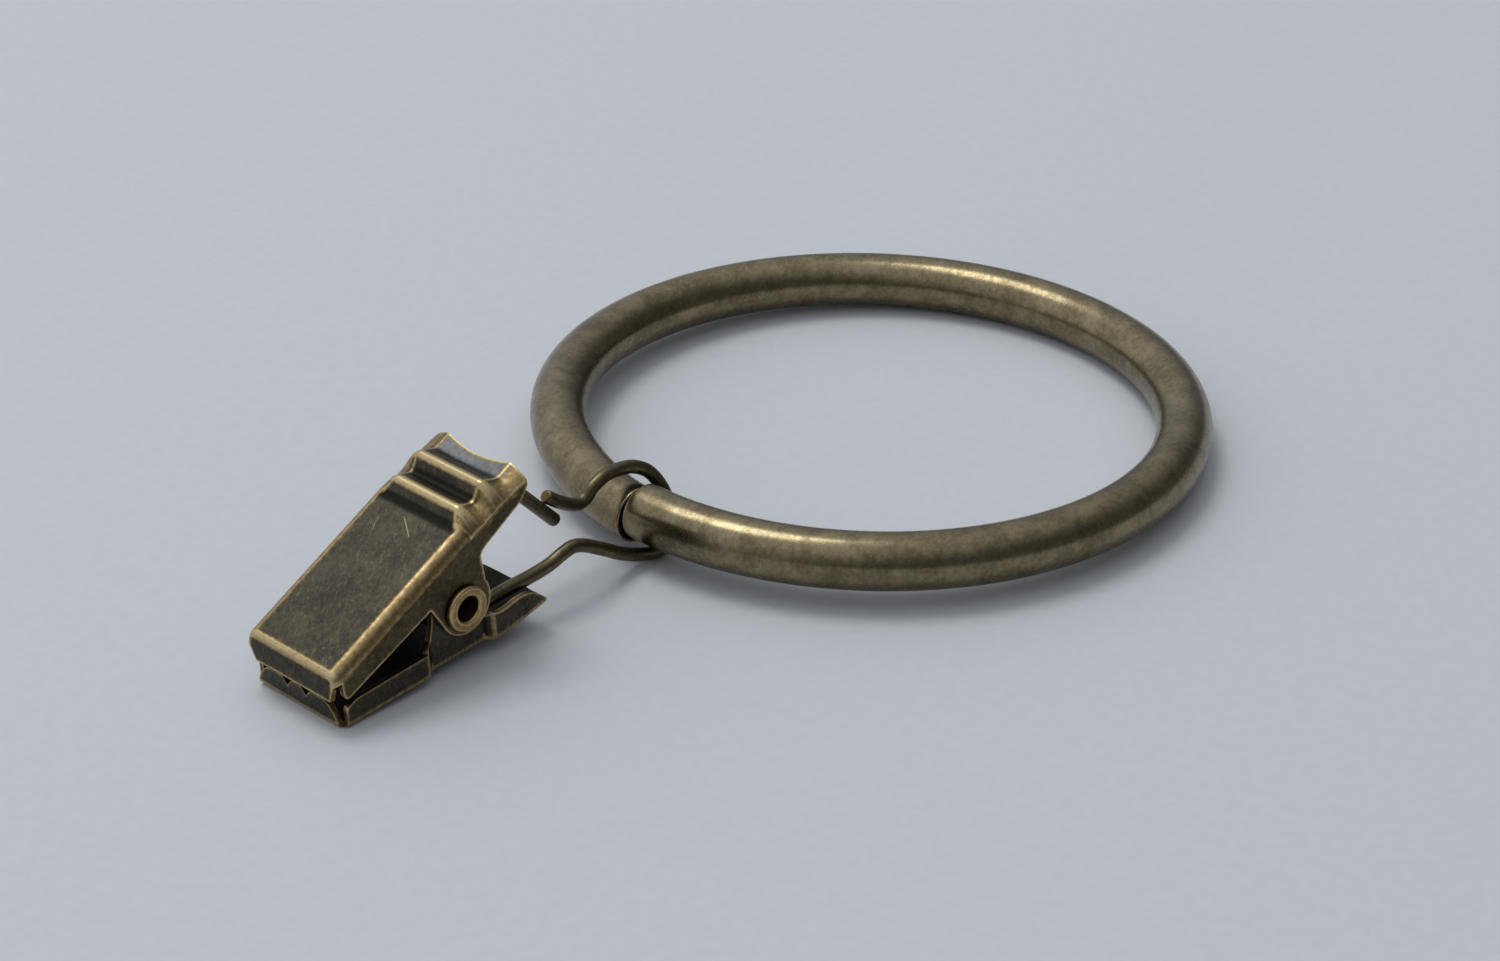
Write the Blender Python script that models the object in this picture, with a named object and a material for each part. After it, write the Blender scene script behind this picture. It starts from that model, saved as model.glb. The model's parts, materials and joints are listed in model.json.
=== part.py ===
"""A curtain clip ring lying flat: a joined tube ring with a sprung clip hooked onto it.

Units are metres, +Z is up, and the surface it lies on is Z = 0. +X runs from the clip's front to the far
side of the ring. The clip lies slightly tail-up because its hook passes under the ring, and the ring rests
on that hook.
"""

import math

import bmesh
import bpy
from mathutils import Matrix, Vector

MM = 0.001

# Ring
RING_RADIUS = 28.0 * MM
TUBE_RADIUS = 2.5 * MM
TUBE_BORE_RADIUS = 2.1 * MM
RING_TILT = math.radians(1.4)
JOINT_ANGLE = math.radians(1.4)
JOINT_GAP = 0.3 * MM
END_OFFSET = 0.2 * MM
END_DROP = 0.45 * MM
END_OFFSET_ARC = math.radians(30)
PIN_RADIUS = 1.65 * MM
PIN_LENGTH = 12.0 * MM
RING_STEPS = 64
PIN_STEPS = 12
TUBE_SIDES = 16
SWING_ANGLE = math.radians(3.0)
SWING_SHIFT = Vector((-0.1, 0.0, -0.15)) * MM

# Clip frame: x along the floor from the front, y across from the near side, z up from the floor's underside
CLIP_TILT = math.radians(4.3)
CLIP_ORIGIN = Vector((-47.05, -3.0, -0.05)) * MM
CLIP_TO_RING = Vector((64.4, 3.0)) * MM
CLIP_WIDTH = 10.9 * MM
SHEET = 0.5 * MM
BEND_STEPS = 4
PIVOT = Vector((13.45, 0.0, 4.9)) * MM

# Lower jaw
FLOOR_BEND = 0.6 * MM
FLANGE_HEIGHT = 2.42 * MM
EAR_INSET = 0.62 * MM
EAR_FRONT = 10.0 * MM
EAR_BACK = 15.6 * MM
EAR_TOP = 8.9 * MM
JOGGLE = 0.8 * MM
TAIL_START = 17.0 * MM
TAIL_END = 22.1 * MM
TAIL_RISE = 0.75 * MM
TAIL_FLANGE_HEIGHT = 2.7 * MM
NOTCH_PITCH = 2.28 * MM
NOTCH_COUNT = 2
NOTCH_HALF_WIDTH = 0.55 * MM
LIP_CORNER = 2.1 * MM
NOTCH_BOTTOM = 1.65 * MM
LOWER_LIP_HEIGHT = 2.3 * MM

# Upper jaw
PANEL_BEND = 1.0 * MM
RIDGE_BEND = 1.75 * MM
LIP_NEAR_INSET = 0.5 * MM
LIP_FAR_INSET = 1.3 * MM
SHOULDER_SLOPE = 0.65
THUMB_STEPS = 6
THUMB_RECESS = 0.5 * MM
THUMB_DIP = 0.3 * MM
UPPER_EAR_RADIUS = 2.62 * MM
UPPER_EAR_CENTRE = PIVOT + Vector((0.2, 0.0, 0.1)) * MM

# Rivet
RIVET_RADIUS = 1.45 * MM
RIVET_BORE = 1.1 * MM
RIM_RADIUS = 2.0 * MM
RIM_THICKNESS = 0.5 * MM
RIM_GAP = 0.1 * MM
HOLE_RADIUS = 1.52 * MM
ROUND_SIDES = 32

# Spring wire
WIRE_RADIUS = 0.6 * MM
WIRE_SIDES = 10
COIL_RADIUS = 2.2 * MM
COIL_START_Y = 1.85 * MM
LEG_Y = 5.32 * MM
COIL_STEP = math.radians(18)
COIL_SWEEP = math.radians(820)
COIL_CUT = math.radians(9)
LEG_LEAVES = math.radians(126)
CURVE_STEPS = 4


def material(name, colour, roughness):
    """A metal finish: a Principled material with its colour, roughness and metallic value."""
    made = bpy.data.materials.new(name)
    made.use_nodes = True
    shader = made.node_tree.nodes["Principled BSDF"]
    shader.inputs["Base Color"].default_value = (*colour, 1.0)
    shader.inputs["Roughness"].default_value = roughness
    shader.inputs["Metallic"].default_value = 1.0
    made.diffuse_color = (*colour, 1.0)
    return made


def add_object(name, data, parent=None, location=(0.0, 0.0, 0.0)):
    made = bpy.data.objects.new(name, data)
    made.location = location
    made.parent = parent
    bpy.context.scene.collection.objects.link(made)
    return made


def finish_mesh(bm, name, finish, crease=math.radians(35)):
    """The bmesh as mesh data with its material, shaded smooth except across its sharp edges."""
    mesh = bpy.data.meshes.new(name)
    bm.to_mesh(mesh)
    bm.free()
    mesh.shade_smooth()
    mesh.set_sharp_from_angle(angle=crease)
    mesh.materials.append(finish)
    return mesh


def in_mm(*pairs):
    """Points of a side view, given in millimetres, as vectors in the XZ plane in metres."""
    return [Vector((x, 0.0, z)) * MM for x, z in pairs]


def across(point, y):
    return Vector((point.x, y, point.z))


def arc(centre, radius, start, end, steps):
    """Points of a circular arc in the XZ plane, from one angle in degrees to another."""
    points = []
    for i in range(steps + 1):
        angle = math.radians(start + (end - start) * i / steps)
        points.append(centre + radius * Vector((math.cos(angle), 0.0, math.sin(angle))))
    return points


def round_corner(before, corner, after, reach, steps=3):
    """Points that replace one corner of an outline by a curve that starts and ends at reach from it."""
    start = corner + (before - corner).normalized() * reach
    end = corner + (after - corner).normalized() * reach
    points = []
    for i in range(steps + 1):
        t = i / steps
        points.append(start.lerp(corner, t).lerp(corner.lerp(end, t), t))
    return points


def smooth_step(value, low, high):
    t = min(max((value - low) / (high - low), 0.0), 1.0)
    return t * t * (3.0 - 2.0 * t)


# Sheet metal: an open outer surface, given its thickness by a Solidify modifier


class Sheet:
    """An open surface whose faces share the corners that coincide."""

    def __init__(self):
        self.bm = bmesh.new()
        self.corners = {}

    def corner(self, point):
        key = tuple(round(value / (0.001 * MM)) for value in point)
        if key not in self.corners:
            self.corners[key] = self.bm.verts.new(point)
        return self.corners[key]

    def face(self, points):
        corners = list(dict.fromkeys(self.corner(point) for point in points))
        self.bm.faces.new(corners)

    def strip(self, rows):
        """Quads between each two neighbouring rows of points."""
        for row, following in zip(rows, rows[1:]):
            for i in range(len(row) - 1):
                self.face([row[i], row[i + 1], following[i + 1], following[i]])

    def to_object(self, name, finish, inside, parent, location):
        """The sheet with its normals turned away from the inside point, thickened inwards."""
        bmesh.ops.recalc_face_normals(self.bm, faces=self.bm.faces)
        facing = sum(
            face.normal.dot(face.calc_center_median() - inside) * face.calc_area()
            for face in self.bm.faces
        )
        if facing < 0:
            bmesh.ops.reverse_faces(self.bm, faces=self.bm.faces)
        bmesh.ops.translate(self.bm, verts=self.bm.verts, vec=-location)
        made = add_object(name, finish_mesh(self.bm, name, finish), parent, location)
        thickness = made.modifiers.new("Sheet", "SOLIDIFY")
        thickness.thickness = SHEET
        thickness.offset = -1.0
        return made


def cross_section(flat, base, bend, inset, slope=0.0):
    """From the top of one side wall, round the fold, over the flat, and round to the other side wall.

    The fold is a quarter ellipse where slope is 0, and flattens towards a straight slope as it nears 1.
    """
    near = []
    for i in range(BEND_STEPS + 1):
        angle = math.radians(90) * i / BEND_STEPS
        inwards = (1.0 - slope) * (1.0 - math.sin(angle)) + slope * (1.0 - i / BEND_STEPS)
        down = (1.0 - slope) * (1.0 - math.cos(angle)) + slope * i / BEND_STEPS
        near.append(across(flat.lerp(base, down), inset + (bend - inset) * inwards))
    far = [across(point, CLIP_WIDTH - point.y) for point in near]
    return near[::-1] + far


def cut_rivet_holes(jaw, parent):
    """A round hole through both ears, on the pivot."""
    bm = bmesh.new()
    turn = Matrix.Rotation(math.radians(90), 4, "X")
    bmesh.ops.create_cone(
        bm, cap_ends=True, segments=ROUND_SIDES, radius1=HOLE_RADIUS, radius2=HOLE_RADIUS,
        depth=CLIP_WIDTH * 1.5, matrix=turn,
    )
    mesh = bpy.data.meshes.new(jaw.name + "_hole_cutter")
    bm.to_mesh(mesh)
    bm.free()
    middle = Vector((0.0, CLIP_WIDTH / 2, 0.0))
    cutter = add_object(mesh.name, mesh, parent, clip_place(PIVOT + middle))
    cutter.hide_render = True
    cutter.display_type = "WIRE"
    hole = jaw.modifiers.new("Rivet holes", "BOOLEAN")
    hole.operation = "DIFFERENCE"
    hole.object = cutter


# Placing: the ring's own plane is tilted about its centre, and the clip hangs from a point inside its tube


def ring_point(angle, radius=RING_RADIUS):
    """A point in the ring's plane, where angle 0 faces the clip, in the ring's own frame."""
    return Vector((-radius * math.cos(angle), radius * math.sin(angle), 0.0))


RING_CENTRE = Vector((
    CLIP_ORIGIN.x + CLIP_TO_RING.x,
    CLIP_ORIGIN.y + CLIP_TO_RING.y,
    TUBE_RADIUS + RING_RADIUS * math.sin(RING_TILT),
))
RING_TURN = Matrix.Rotation(RING_TILT, 3, "Y")
CLIP_TURN = Matrix.Rotation(-CLIP_TILT, 3, "Y")
SWING_POINT = RING_CENTRE + RING_TURN @ ring_point(SWING_ANGLE) + SWING_SHIFT


def clip_place(point):
    """A point of the clip's frame, in the frame of the empty that the clip swings on."""
    return point + CLIP_TURN.transposed() @ (CLIP_ORIGIN - SWING_POINT)


# Ring


def swept_loops(bm, radius, angles, sprung):
    """Circles of vertices along the ring's centre line, each moved by its share of the sprung end's offset."""
    loops = []
    for angle in angles:
        share = sprung(angle)
        outward = ring_point(angle, 1.0)
        centre = ring_point(angle, RING_RADIUS + END_OFFSET * share) - Vector((0.0, 0.0, END_DROP * share))
        loop = []
        for k in range(TUBE_SIDES):
            turn = math.tau * k / TUBE_SIDES
            spoke = outward * math.cos(turn) + Vector((0.0, 0.0, math.sin(turn)))
            loop.append(bm.verts.new(centre + radius * spoke))
        loops.append(loop)
    return loops


def join_loops(bm, first, second):
    for k in range(len(first)):
        following = (k + 1) % len(first)
        bm.faces.new((first[k], first[following], second[following], second[k]))


def make_ring_tube(finish):
    """A hollow tube bent into a circle, its end beyond the joint sprung out and down a little."""
    half_gap = JOINT_GAP / 2 / RING_RADIUS
    start = JOINT_ANGLE + half_gap
    sweep = math.tau - 2 * half_gap
    angles = [start + sweep * i / RING_STEPS for i in range(RING_STEPS + 1)]
    bm = bmesh.new()

    def sprung(angle):
        return 1.0 - smooth_step(angle, start, start + END_OFFSET_ARC)

    outer = swept_loops(bm, TUBE_RADIUS, angles, sprung)
    inner = swept_loops(bm, TUBE_BORE_RADIUS, angles, sprung)
    for loops in (outer, inner):
        for first, second in zip(loops, loops[1:]):
            join_loops(bm, first, second)
    for end in (0, -1):
        join_loops(bm, outer[end], inner[end])
    bmesh.ops.recalc_face_normals(bm, faces=bm.faces)
    tube = add_object("ring_tube", finish_mesh(bm, "ring_tube", finish), None, RING_CENTRE)
    tube.rotation_euler.y = RING_TILT
    return tube


def make_joint_pin(finish, tube):
    """The plug inside both ends of the tube, halfway between their two centre lines."""
    half_length = PIN_LENGTH / 2 / RING_RADIUS
    angles = [JOINT_ANGLE - half_length + 2 * half_length * i / PIN_STEPS for i in range(PIN_STEPS + 1)]
    bm = bmesh.new()
    loops = swept_loops(bm, PIN_RADIUS, angles, lambda angle: 0.5)
    for first, second in zip(loops, loops[1:]):
        join_loops(bm, first, second)
    bm.faces.new(loops[0])
    bm.faces.new(loops[-1])
    bmesh.ops.recalc_face_normals(bm, faces=bm.faces)
    return add_object("ring_joint_pin", finish_mesh(bm, "ring_joint_pin", finish), tube)


# Lower jaw


def lower_side_inset(x):
    """How far the side walls are joggled inwards, so that the ears fit inside the upper jaw's."""
    into = smooth_step(x, EAR_FRONT - JOGGLE, EAR_FRONT)
    out = smooth_step(x, EAR_BACK, EAR_BACK + JOGGLE)
    return EAR_INSET * (into - out)


def floor_height(x):
    return TAIL_RISE * (max(x - TAIL_START, 0.0) / (TAIL_END - TAIL_START)) ** 1.3


def lower_wall_outlines():
    """The top outlines of the front flange, the ear and the tail flange, each from front to back."""
    front = in_mm((0.62, 1.3), (0.85, 1.85), (1.5, 2.3))
    front.append(Vector((EAR_FRONT - JOGGLE, 0.0, FLANGE_HEIGHT)))
    foot = Vector((EAR_FRONT, 0.0, FLANGE_HEIGHT + 0.55 * MM))
    shoulder, corner, heel = in_mm((10.45, 4.4), (10.8, 8.9), (15.85, 8.9))
    corner.z = EAR_TOP
    heel.z = EAR_TOP
    back = Vector((15.9 * MM, 0.0, 4.0 * MM))
    last = Vector((EAR_BACK, 0.0, TAIL_FLANGE_HEIGHT - 0.1 * MM))
    ear = [foot, shoulder]
    ear += round_corner(shoulder, corner, heel, 1.6 * MM)
    ear += round_corner(corner, heel, back, 1.2 * MM)
    ear += [back, last]
    tail = [Vector((EAR_BACK + JOGGLE, 0.0, TAIL_FLANGE_HEIGHT - 0.1 * MM))]
    tail += in_mm((17.3, 2.5), (18.3, 2.65), (19.4, 2.8), (20.4, 2.66), (21.1, 2.3), (21.7, 1.75))
    return front, ear, tail


def make_lower_jaw(finish, parent):
    front, ear, tail = lower_wall_outlines()
    stations = [FLOOR_BEND, 4.8 * MM, EAR_FRONT - JOGGLE, EAR_FRONT - JOGGLE / 2, EAR_FRONT, 12.6 * MM]
    stations += [EAR_BACK, EAR_BACK + JOGGLE / 2, EAR_BACK + JOGGLE]
    stations += [TAIL_START + (TAIL_END - TAIL_START) * i / 5 for i in range(6)]
    sheet = Sheet()
    sections = []
    for x in stations:
        inset = lower_side_inset(x)
        flat = Vector((x, 0.0, floor_height(x)))
        base = flat + Vector((0.0, 0.0, FLOOR_BEND))
        sections.append(cross_section(flat, base, inset + FLOOR_BEND, inset))
    sheet.strip(sections)

    joggles = (
        (EAR_FRONT - JOGGLE, EAR_FRONT - JOGGLE / 2, EAR_FRONT, front[-1], ear[0]),
        (EAR_BACK, EAR_BACK + JOGGLE / 2, EAR_BACK + JOGGLE, ear[-1], tail[0]),
    )
    for side in (0, -1):
        base = {x: section[side] for x, section in zip(stations, sections)}
        for outline, low, high in (
            (front, FLOOR_BEND, EAR_FRONT - JOGGLE),
            (ear, EAR_FRONT, EAR_BACK),
            (tail, EAR_BACK + JOGGLE, TAIL_END),
        ):
            foot = [base[x] for x in stations if low <= x <= high]
            top = [across(point, foot[0].y) for point in outline]
            sheet.face(foot + top[::-1])
        for start, middle, end, before, after in joggles:
            first = across(before, base[start].y)
            half = across((before + after) / 2, base[middle].y)
            last = across(after, base[end].y)
            sheet.face([base[start], base[middle], half, first])
            sheet.face([base[middle], base[end], last, half])

    # The toothed front lip, folded up from the floor's front edge
    low_y = FLOOR_BEND
    high_y = CLIP_WIDTH - FLOOR_BEND
    fold = arc(Vector((FLOOR_BEND, 0.0, FLOOR_BEND)), FLOOR_BEND, 270, 180, BEND_STEPS)
    sheet.strip([[across(point, low_y), across(point, high_y)] for point in fold])
    shoulder = [(low_y, FLOOR_BEND), (low_y + 0.6 * MM, 1.6 * MM), (LIP_CORNER, LOWER_LIP_HEIGHT)]
    edge = list(shoulder)
    for i in range(NOTCH_COUNT):
        y = CLIP_WIDTH / 2 + (i - (NOTCH_COUNT - 1) / 2) * NOTCH_PITCH
        edge += [(y - NOTCH_HALF_WIDTH, LOWER_LIP_HEIGHT), (y, NOTCH_BOTTOM)]
        edge.append((y + NOTCH_HALF_WIDTH, LOWER_LIP_HEIGHT))
    edge += [(CLIP_WIDTH - y, z) for y, z in shoulder[::-1]]
    sheet.face([Vector((0.0, y, z)) for y, z in edge])

    inside = Vector((10.0 * MM, CLIP_WIDTH / 2, 4.0 * MM))
    jaw = sheet.to_object("lower_jaw", finish, inside, parent, Vector())
    jaw.location = clip_place(Vector())
    cut_rivet_holes(jaw, parent)
    return jaw


# Upper jaw


def upper_profile():
    """The top's centre line and, point for point, the line where the side walls start below it."""
    tops = in_mm(
        (0.35, 5.45), (14.2, 11.5), (15.2, 12.95), (16.9, 12.45),
        (17.8, 14.05), (19.65, 13.4), (21.2, 14.1),
    )
    walls = in_mm(
        (0.5, 4.4), (14.6, 10.5), (15.5, 11.1), (16.9, 11.6),
        (18.2, 12.2), (19.7, 12.7), (21.25, 13.2),
    )
    rounded = []
    for line in (tops, walls):
        points = [line[0]]
        for i in range(1, len(line) - 1):
            points += round_corner(line[i - 1], line[i], line[i + 1], 0.45 * MM)
        points.append(line[-1])
        rounded.append(points)
    return rounded


def upper_wall_outline():
    """The side wall's lower outline, from the tail's end round the ear to the front."""
    heel, low_end, low_start, neck = in_mm((21.3, 12.7), (20.6, 11.6), (16.0, 9.15), (15.35, 8.2))
    notch, front_low, front_top = in_mm((10.05, 6.3), (0.75, 2.65), (0.3, 4.0))
    outline = [heel]
    outline += round_corner(heel, low_end, low_start, 0.7 * MM)
    outline += round_corner(low_end, low_start, neck, 0.5 * MM)
    outline.append(neck)
    outline += arc(UPPER_EAR_CENTRE, UPPER_EAR_RADIUS, 22, -160, 14)
    outline.append(notch)
    outline += round_corner(notch, front_low, front_top, 0.5 * MM)
    return outline


def thumb_dish(point):
    """A point of the flat top, moved down and forwards where the thumb presses behind the second ridge."""
    along = smooth_step(point.x, 18.6 * MM, 21.3 * MM)
    u = (2.0 * point.y - CLIP_WIDTH) / (CLIP_WIDTH - 2 * RIDGE_BEND)
    depth = along * max(1.0 - u * u, 0.0)
    return point - Vector((THUMB_RECESS, 0.0, THUMB_DIP)) * depth


def make_upper_jaw(finish, parent):
    """The pressed upper jaw, with its origin on the rivet's axis."""
    tops, walls = upper_profile()
    fold_flats = in_mm((-0.22, 4.7), (-0.12, 5.08), (0.05, 5.32))
    fold_bases = in_mm((-0.3, 4.15), (-0.15, 4.25), (0.15, 4.35))
    fold_insets = (0.32 * MM, 0.22 * MM, 0.08 * MM)
    sheet = Sheet()
    sections = []
    for flat, base, inset in zip(fold_flats, fold_bases, fold_insets):
        sections.append(cross_section(flat, base, PANEL_BEND, inset))
    for flat, base in zip(tops, walls):
        ridged = smooth_step(flat.x, 14.0 * MM, 15.2 * MM)
        bend = PANEL_BEND + (RIDGE_BEND - PANEL_BEND) * ridged
        sections.append(cross_section(flat, base, bend, 0.0, SHOULDER_SLOPE * ridged))
    half = BEND_STEPS + 1
    for i, section in enumerate(sections):
        middle = [section[half - 1].lerp(section[half], k / THUMB_STEPS) for k in range(1, THUMB_STEPS)]
        flat = [thumb_dish(point) for point in [section[half - 1]] + middle + [section[half]]]
        sections[i] = section[:half - 1] + flat + section[half + 1:]
    sheet.strip(sections)
    outline = upper_wall_outline()
    for y in (0.0, CLIP_WIDTH):
        sheet.face([across(point, y) for point in walls + outline])

    bottom = Vector((-0.53, 0.0, 3.0)) * MM
    corners = [across(bottom, CLIP_WIDTH - LIP_FAR_INSET), across(bottom, LIP_NEAR_INSET)]
    sheet.face(sections[0] + corners)

    inside = Vector((12.0 * MM, CLIP_WIDTH / 2, 5.0 * MM))
    jaw = sheet.to_object("upper_jaw", finish, inside, parent, PIVOT)
    jaw.location = clip_place(PIVOT)
    cut_rivet_holes(jaw, parent)
    return jaw


# Rivet


def make_rivet(finish, parent):
    """A hollow rivet, turned from its profile, with a rolled rim standing proud of each upper ear."""
    inner = RIM_GAP
    outer = RIM_GAP + RIM_THICKNESS
    soft = 0.18 * MM
    end = [(RIVET_RADIUS, -inner), (RIM_RADIUS - soft, -inner), (RIM_RADIUS, -inner - soft)]
    end += [(RIM_RADIUS, -outer + soft), (RIM_RADIUS - soft, -outer), (RIVET_BORE + soft, -outer)]
    end += [(RIVET_BORE, -outer + soft)]
    other = [(radius, CLIP_WIDTH - y) for radius, y in end[::-1]]
    profile = end[::-1] + [(RIVET_RADIUS, CLIP_WIDTH + inner)] + other[::-1][1:]
    bm = bmesh.new()
    rows = []
    for k in range(ROUND_SIDES):
        turn = math.tau * k / ROUND_SIDES
        spoke = Vector((math.cos(turn), 0.0, math.sin(turn)))
        rows.append([bm.verts.new(spoke * radius + Vector((0.0, y, 0.0))) for radius, y in profile])
    for k in range(ROUND_SIDES):
        following = rows[(k + 1) % ROUND_SIDES]
        join_loops(bm, rows[k], following)
    bmesh.ops.recalc_face_normals(bm, faces=bm.faces)
    return add_object("hinge_rivet", finish_mesh(bm, "hinge_rivet", finish), parent, clip_place(PIVOT))


# Spring wire


def coil_point(angle, y, middle=Vector()):
    spoke = Vector((math.cos(angle), 0.0, math.sin(angle)))
    return middle + COIL_RADIUS * spoke + Vector((0.0, y, 0.0))


def smooth_route(points):
    """A Catmull-Rom curve through the route's own points."""
    ends = [points[0] * 2 - points[1]] + points + [points[-1] * 2 - points[-2]]
    route = []
    for before, start, end, after in zip(ends, ends[1:], ends[2:], ends[3:]):
        for i in range(CURVE_STEPS):
            t = i / CURVE_STEPS
            route.append(0.5 * (
                2 * start + (end - before) * t
                + (2 * before - 5 * start + 4 * end - after) * t**2
                + (3 * start - before - 3 * end + after) * t**3
            ))
    route.append(points[-1])
    return route


def make_wire(name, route, origin, finish, parent):
    """A round wire along a route, with flat ends."""
    data = bpy.data.curves.new(name, "CURVE")
    data.dimensions = "3D"
    data.bevel_depth = WIRE_RADIUS
    data.bevel_resolution = (WIRE_SIDES - 4) // 2
    data.use_fill_caps = True
    spline = data.splines.new("POLY")
    spline.points.add(len(route) - 1)
    for slot, point in zip(spline.points, route):
        slot.co = (*(point - origin), 1.0)
    data.materials.append(finish)
    return add_object(name, data, parent, clip_place(origin))


def make_hook_spring(finish, parent):
    """The coil round the rivet, the leg over the lower tail, and the hook round the ring's tube."""
    turns = COIL_SWEEP - COIL_CUT
    steps = int(turns / COIL_STEP)
    start = math.radians(270)
    coil = []
    for i in range(steps + 1):
        along = turns * i / steps
        y = COIL_START_Y + (LEG_Y - COIL_START_Y) * along / COIL_SWEEP
        coil.append(coil_point(start - along, y, PIVOT))
    hook = [Vector(point) * MM for point in (
        (16.5, 1.85, 2.75), (19.5, 1.85, 2.75), (22.0, 1.85, 2.65), (24.2, 1.85, 2.7),
        (25.7, 1.85, 3.0), (27.0, 1.85, 3.1), (28.3, 1.85, 2.55), (30.0, 1.85, 1.4),
        (32.5, 1.85, -0.4), (34.8, 1.85, -1.6), (36.6, 1.9, -2.1), (38.2, 2.4, -1.8),
        (39.45, 3.3, -0.55), (39.9, 4.3, 1.2), (39.25, 5.1, 3.05), (37.9, 5.45, 4.2),
        (36.2, 5.45, 4.85), (34.4, 5.45, 5.05), (32.9, 5.45, 4.65), (31.9, 5.45, 3.95),
        (30.8, 5.45, 3.9), (29.2, 5.45, 4.9), (27.6, 5.45, 6.3),
    )]
    route = coil[::-1] + smooth_route(hook)
    return make_wire("hook_spring", route, PIVOT, finish, parent)


def make_upper_leg(finish, upper_jaw, parent):
    """The spring's other leg, under the upper tail, with its end bent down across the hook's mouth."""
    start = math.radians(270) - COIL_SWEEP
    steps = 5
    arc_end = LEG_LEAVES - math.tau * round((LEG_LEAVES - start) / math.tau)
    first = [coil_point(start + (arc_end - start) * i / steps, LEG_Y, PIVOT) for i in range(steps + 1)]
    leg = [Vector(point) * MM for point in (
        (15.0, 5.32, 8.7), (17.5, 5.32, 10.55), (19.4, 5.32, 11.9), (20.35, 5.32, 12.25),
        (21.2, 5.32, 11.9), (22.6, 5.32, 10.5), (25.0, 5.32, 7.65), (28.3, 5.32, 3.6),
    )]
    made = make_wire("spring_upper_leg", first + smooth_route(leg), PIVOT, finish, parent)
    made.parent = upper_jaw
    made.location = Vector()
    return made


def build():
    for leftover in list(bpy.data.objects):
        bpy.data.objects.remove(leftover)
    bronze = (0.22, 0.19, 0.12)
    tube = make_ring_tube(material("antique brass tube", bronze, 0.38))
    make_joint_pin(material("pin steel", (0.30, 0.29, 0.26), 0.35), tube)
    swing = add_object("clip_swing", None, None, SWING_POINT)
    swing.rotation_euler.y = -CLIP_TILT
    make_lower_jaw(material("antique brass lower sheet", (0.17, 0.15, 0.11), 0.45), swing)
    upper = make_upper_jaw(material("antique brass upper sheet", (0.20, 0.18, 0.13), 0.42), swing)
    make_rivet(material("rivet brass", (0.35, 0.28, 0.16), 0.35), swing)
    wire = material("antique brass wire", (0.23, 0.20, 0.12), 0.36)
    make_hook_spring(wire, swing)
    make_upper_leg(wire, upper, swing)


build()
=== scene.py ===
"""The finished look of a curtain clip ring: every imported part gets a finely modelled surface."""

import json
import math

import bmesh
import bpy
from mathutils import Matrix, Vector
from mathutils.kdtree import KDTree


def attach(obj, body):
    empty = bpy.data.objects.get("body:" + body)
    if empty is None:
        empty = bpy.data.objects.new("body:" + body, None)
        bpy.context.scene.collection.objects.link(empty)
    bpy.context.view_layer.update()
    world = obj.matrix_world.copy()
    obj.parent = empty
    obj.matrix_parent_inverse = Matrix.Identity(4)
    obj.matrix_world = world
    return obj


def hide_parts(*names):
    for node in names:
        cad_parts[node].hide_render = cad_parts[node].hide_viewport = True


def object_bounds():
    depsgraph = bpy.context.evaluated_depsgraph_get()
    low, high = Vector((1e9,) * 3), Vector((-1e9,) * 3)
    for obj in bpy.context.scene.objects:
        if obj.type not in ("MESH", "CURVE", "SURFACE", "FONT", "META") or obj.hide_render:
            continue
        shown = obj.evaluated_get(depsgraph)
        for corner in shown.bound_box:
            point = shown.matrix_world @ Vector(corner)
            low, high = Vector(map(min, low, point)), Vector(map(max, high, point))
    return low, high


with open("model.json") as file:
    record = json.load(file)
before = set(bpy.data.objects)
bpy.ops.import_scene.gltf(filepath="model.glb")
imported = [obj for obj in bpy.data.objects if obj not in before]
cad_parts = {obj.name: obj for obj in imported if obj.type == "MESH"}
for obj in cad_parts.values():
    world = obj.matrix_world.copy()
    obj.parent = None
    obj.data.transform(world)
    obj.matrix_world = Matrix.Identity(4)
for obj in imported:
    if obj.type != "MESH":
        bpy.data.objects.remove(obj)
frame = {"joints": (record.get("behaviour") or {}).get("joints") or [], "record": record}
cad_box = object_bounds()

MM = 0.001

# Ring
RING_RADIUS = 28.0 * MM
TUBE_RADIUS = 2.5 * MM
BORE_RADIUS = 2.1 * MM
END_ROUNDING = 0.17 * MM
JOINT_ANGLE = math.radians(1.4)
JOINT_GAP = 0.3 * MM
END_OFFSET = 0.2 * MM
END_DROP = 0.45 * MM
END_OFFSET_ARC = math.radians(30)
BORE_CHAMFER = ((0.0, 0.08 * MM), (0.12 * MM, 0.0))
TUBE_SIDES = 64
RING_STEPS = 240
BORE_STEPS = 120
PIN_RADIUS = 1.65 * MM
PIN_LENGTH = 11.0 * MM
PIN_CHAMFER = 0.3 * MM
PIN_SIDES = 48
PIN_STEPS = 20

# Clip frame: x along the floor from the front, y across from the near side, z up from the floor
CLIP_TILT = math.radians(4.3)
CLIP_WIDTH = 10.9 * MM
SHEET = 0.5 * MM
BEND_STEPS = 10
PIVOT = Vector((13.45, 0.0, 4.9)) * MM

mounts = {mount["name"]: mount for mount in frame["record"]["mounts"]}
joints = {joint["name"]: joint for joint in frame["joints"]}
RING_CENTRE = Vector(mounts["rod_in_ring"]["pos_m"])
RING_NORMAL = Vector(mounts["rod_in_ring"]["axis"])
PIVOT_PLACE = Vector(joints["jaw_opening"]["pos_m"])


def clip_matrix():
    """From the clip's own frame to the frame of the whole part."""
    turn = Matrix.Rotation(-CLIP_TILT, 4, "Y")
    middle = PIVOT + Vector((0.0, CLIP_WIDTH / 2, 0.0))
    return Matrix.Translation(PIVOT_PLACE) @ turn @ Matrix.Translation(-middle)


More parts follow.
